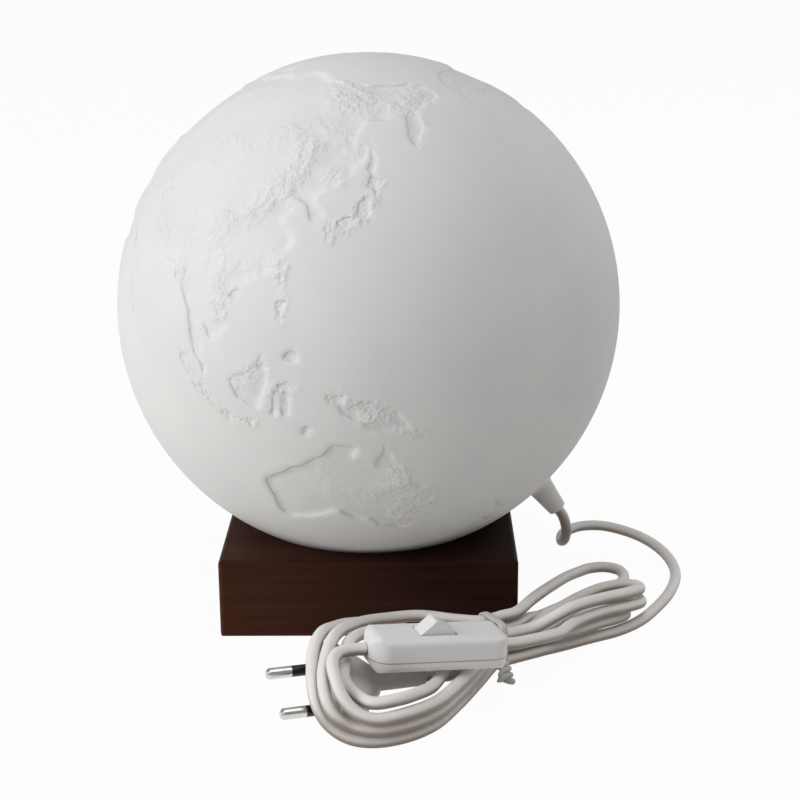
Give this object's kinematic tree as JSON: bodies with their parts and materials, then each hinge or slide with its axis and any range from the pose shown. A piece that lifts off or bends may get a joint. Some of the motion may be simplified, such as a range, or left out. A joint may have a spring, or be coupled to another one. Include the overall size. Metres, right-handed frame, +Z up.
{
  "type": "globe table lamp",
  "caption": "Table lamp: a hollow relief earth globe with a snap-in lampholder and small screw bulb lies in the dish of a square wooden block; its cord runs to a tied hank with switch and plug.",
  "frame": {"origin": "centre of the wooden block's underside", "axes": "+Z up, +X to the right of the block as seen from the front, -Y towards the viewer; the lampholder leaves the globe low on the right"},
  "size_m": [0.2303, 0.2522, 0.219],
  "materials": {
    "dark_wood": "satin",
    "globe_white": "matte",
    "holder_white": "satin",
    "insert_white": "glazed",
    "brass": "plain",
    "steel": "nickel plated",
    "core": "insulated core",
    "bulb_white": "satin",
    "bulb_dark": "gloss",
    "led_board": "matte",
    "frosted": "frosted",
    "switch_white": "satin",
    "plug_white": "satin",
    "black_plastic": "gloss",
    "cord_ivory": "satin sheath",
    "tie_grey": "satin"
  },
  "bodies": {
    "lamp": {"base_block": "dark_wood", "cord_lead": "cord_ivory", "hank_lamp": "cord_ivory", "hank_supply": "cord_ivory", "cord_tie": "tie_grey", "switch_lower": "switch_white", "switch_upper": "switch_white", "rocker_pin": "steel", "contact_bridge": "brass", "switch_terminals": "brass", "switch_wires": "cord_ivory", "switch_screws": "steel", "plug_body": "plug_white", "plug_pins": "steel", "pin_sleeves": "black_plastic"},
    "globe": {"globe_shell": "globe_white", "holder_skirt": "holder_white", "clip_springs": "steel", "holder_insert": "insert_white", "screw_shell": "brass", "centre_contact": "brass", "side_contact": "brass", "terminal_posts": "brass", "terminal_screws": "steel", "holder_wires": "core", "cord_grip": "holder_white", "holder_cap": "holder_white", "cord_boot": "holder_white", "cord_tail": "cord_ivory"},
    "rocker": {"switch_rocker": "switch_white"},
    "bulb": {"bulb_cap": "steel", "bulb_insulator": "bulb_dark", "bulb_tip": "steel", "bulb_housing": "bulb_white", "bulb_led_board": "led_board", "bulb_envelope": "frosted"}
  },
  "joints": [
    {"name": "globe_lift", "type": "slide", "parent": "lamp", "child": "globe", "axis": [0, 0, 1], "range_m": [0, 0.04]},
    {"name": "rocker_tilt", "type": "hinge", "parent": "lamp", "child": "rocker", "pos_m": [0.0247, -0.11716, 0.027], "axis": [-0.3338, 0.9426, 0], "range_deg": [0, 14]},
    {"name": "bulb_turn", "type": "hinge", "parent": "globe", "child": "bulb", "pos_m": [0.03806, 0.0112, 0.07399], "axis": [0.6344, 0.1867, -0.7501], "continuous": true}
  ]
}
